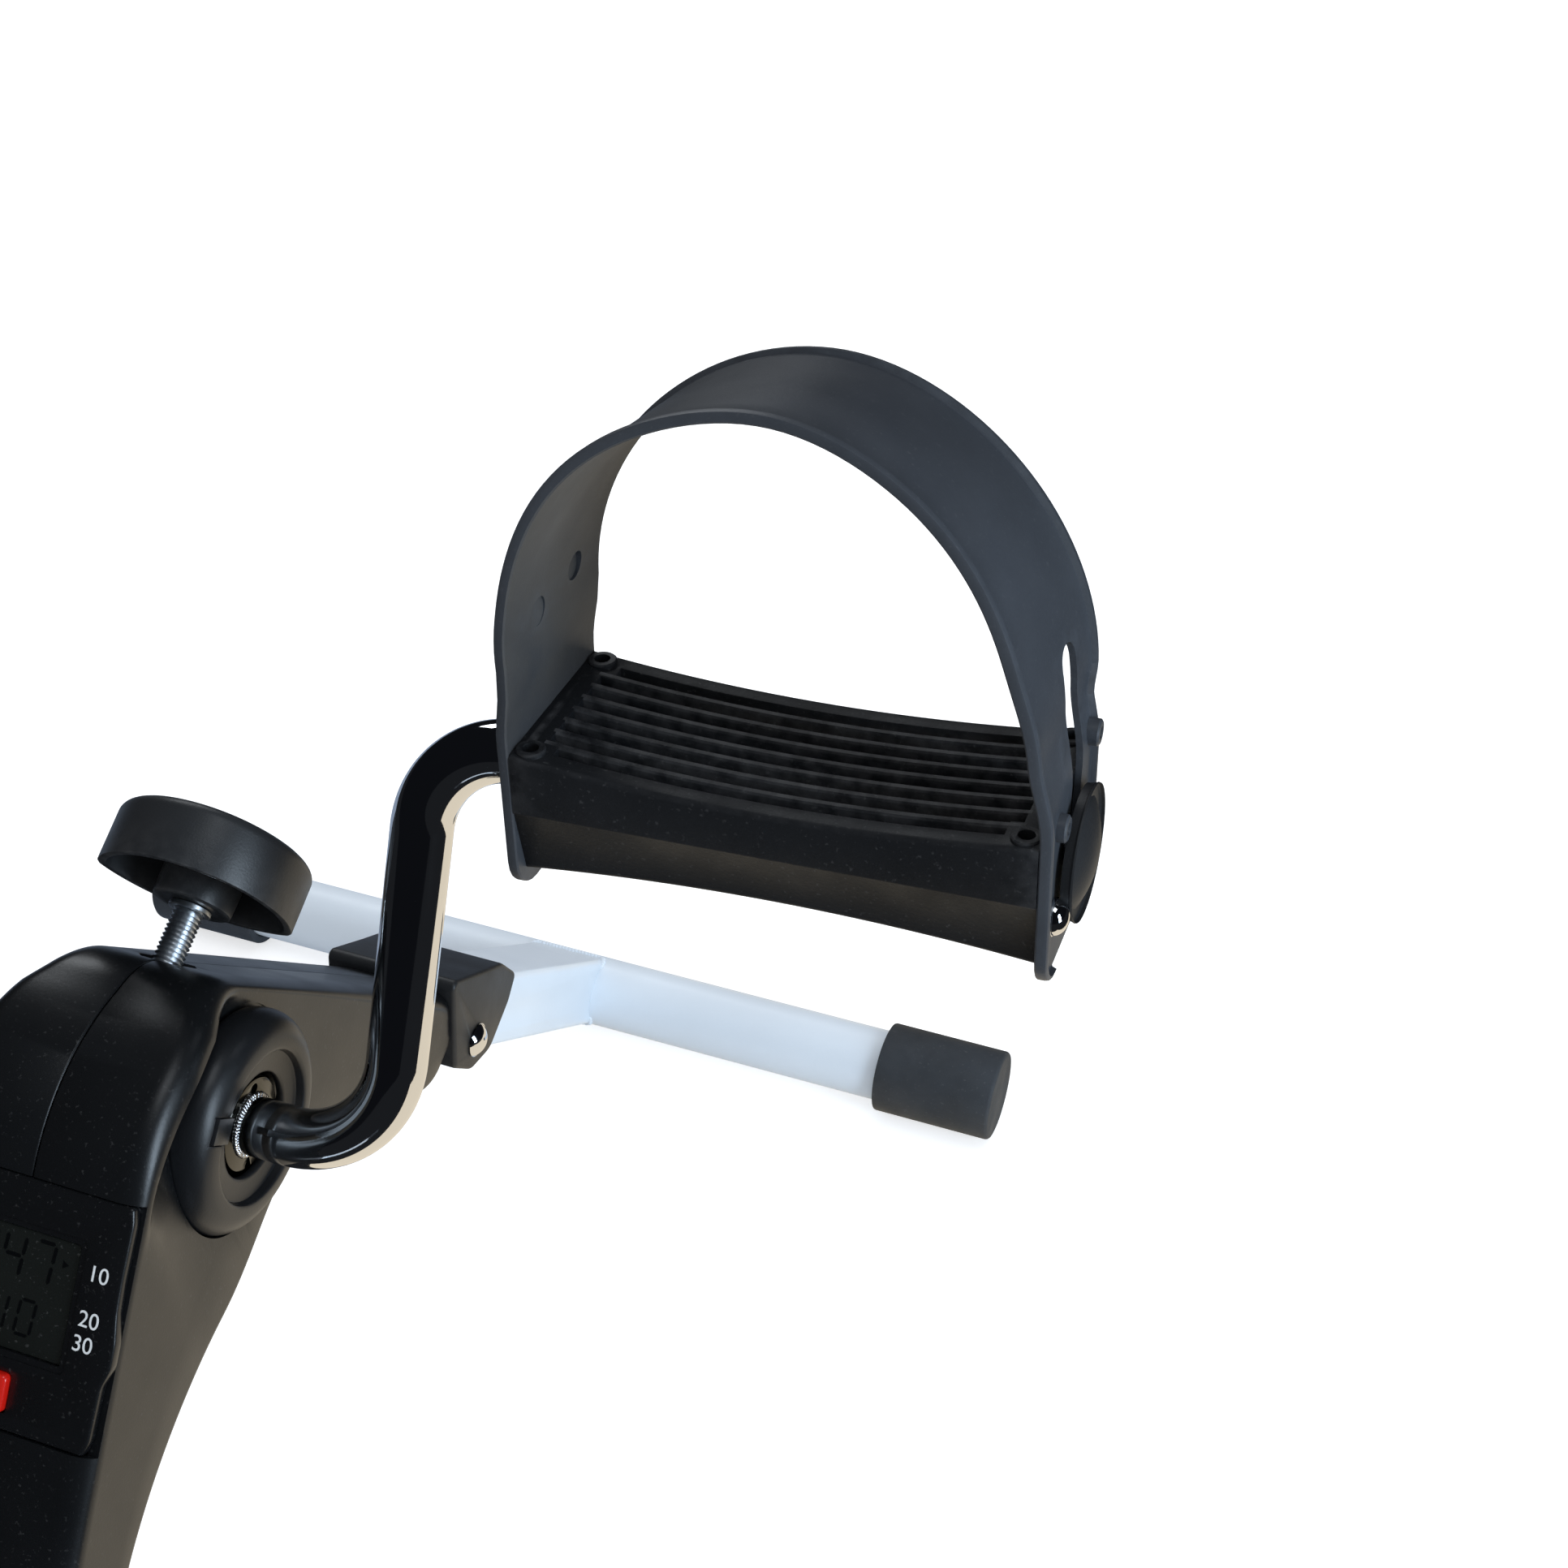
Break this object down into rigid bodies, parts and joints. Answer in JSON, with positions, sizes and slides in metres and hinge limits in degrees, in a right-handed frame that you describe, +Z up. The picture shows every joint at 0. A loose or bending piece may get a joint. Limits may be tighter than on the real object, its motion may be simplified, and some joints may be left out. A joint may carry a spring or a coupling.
{
  "type": "mini exercise bike",
  "caption": "Floor-standing pedal exerciser with cranks, slatted pedals and foot straps, a tension knob, a small console and folding tube stands.",
  "frame": {"origin": "on the floor, under the hub, midway between the two stands", "axes": "+X along the hub towards the right pedal, +Y to the rear, away from the console, +Z up"},
  "size_m": [0.4566, 0.496, 0.4071],
  "materials": {
    "housing_plastic": "black moulded plastic with a satin face",
    "pedal_plastic": "black moulded plastic, scuffed to a dull face",
    "strap_plastic": "flexible black plastic, satin outside and dusty inside",
    "cap_rubber": "dark grey moulded rubber, dull",
    "chrome": "bright chrome plate",
    "zinc": "bright zinc plate",
    "steel": "bare drawn steel",
    "white_paint": "cool white powder coat, semi-gloss",
    "screen_glass": "clear cover over a dark display",
    "red_plastic": "red moulded plastic",
    "board_green": "green board lacquer",
    "bush_nylon": "natural nylon",
    "felt": "dense brown felt"
  },
  "bodies": {
    "frame": {"housing_right": "housing_plastic", "housing_left": "housing_plastic", "spine_frame": "steel", "bearing_right": "bush_nylon", "bearing_left": "bush_nylon", "hub_cover_right": "housing_plastic", "hub_cover_left": "housing_plastic", "tension_nut": "zinc", "console_case": "housing_plastic", "lcd_screen": "screen_glass", "circuit_board": "board_green", "battery": "zinc", "reed_sensor": "screen_glass", "housing_screw_1": "zinc", "housing_screw_2": "zinc", "housing_screw_3": "zinc", "housing_screw_4": "zinc", "rear_saddle": "housing_plastic", "front_saddle": "housing_plastic", "rear_pivot_bolt": "chrome", "rear_pivot_nut": "zinc", "front_pivot_bolt": "chrome", "front_pivot_nut": "zinc"},
    "crank": {"crank_axle": "steel", "friction_drum": "steel", "sensor_magnet": "steel", "hub_disc_right": "chrome", "hub_disc_left": "chrome", "crank_right": "chrome", "crank_left": "chrome", "spindle_nut_right": "zinc", "spindle_nut_left": "zinc", "spindle_cap_right": "pedal_plastic", "spindle_cap_left": "pedal_plastic"},
    "pedal_right": {"pedal_body_right": "pedal_plastic", "strap_right": "strap_plastic", "rivet_inner_right": "chrome", "rivet_outer_right": "chrome"},
    "pedal_left": {"pedal_body_left": "pedal_plastic", "strap_left": "strap_plastic", "rivet_inner_left": "chrome", "rivet_outer_left": "chrome"},
    "brake": {"brake_shoe": "felt"},
    "knob": {"tension_knob": "housing_plastic", "tension_screw": "zinc"},
    "button": {"reset_button": "red_plastic"},
    "rear_stand": {"rear_stem": "white_paint", "rear_tube": "white_paint", "rear_cap_right": "cap_rubber", "rear_cap_left": "cap_rubber"},
    "front_stand": {"front_stem": "white_paint", "front_tube": "white_paint", "front_cap_right": "cap_rubber", "front_cap_left": "cap_rubber"}
  },
  "joints": [
    {"name": "crank_spin", "type": "hinge", "parent": "frame", "child": "crank", "pos_m": [0, 0, 0.1922], "axis": [1, 0, 0], "continuous": true},
    {"name": "pedal_right_spin", "type": "hinge", "parent": "crank", "child": "pedal_right", "pos_m": [0.0669, 0.04786, 0.29346], "axis": [0.9983, 0.0246, 0.052], "continuous": true},
    {"name": "pedal_left_spin", "type": "hinge", "parent": "crank", "child": "pedal_left", "pos_m": [-0.0669, -0.04786, 0.09094], "axis": [0.9983, 0.0246, 0.052], "continuous": true},
    {"name": "brake_slide", "type": "slide", "parent": "frame", "child": "brake", "axis": [0, 0.8894, 0.4571], "range_m": [-0.0025, 0.00125]},
    {"name": "knob_turn", "type": "hinge", "parent": "brake", "child": "knob", "pos_m": [0, 0.0117, 0.2221], "axis": [0, 0.8894, 0.4571], "range_deg": [-720, 360]},
    {"name": "reset_press", "type": "slide", "parent": "frame", "child": "button", "axis": [0, 0.7912, -0.6115], "range_m": [0, 0.0015], "stiffness_N_per_m": 400},
    {"name": "rear_fold", "type": "hinge", "parent": "frame", "child": "rear_stand", "pos_m": [0, 0.126, 0.097], "axis": [-1, 0, 0], "range_deg": [0, 100]},
    {"name": "front_fold", "type": "hinge", "parent": "frame", "child": "front_stand", "pos_m": [0, -0.126, 0.097], "axis": [1, 0, 0], "range_deg": [0, 100]}
  ],
  "couplings": [
    {"joint": "brake_slide", "follows": "knob_turn", "m_per_rad": 0.00019894}
  ]
}
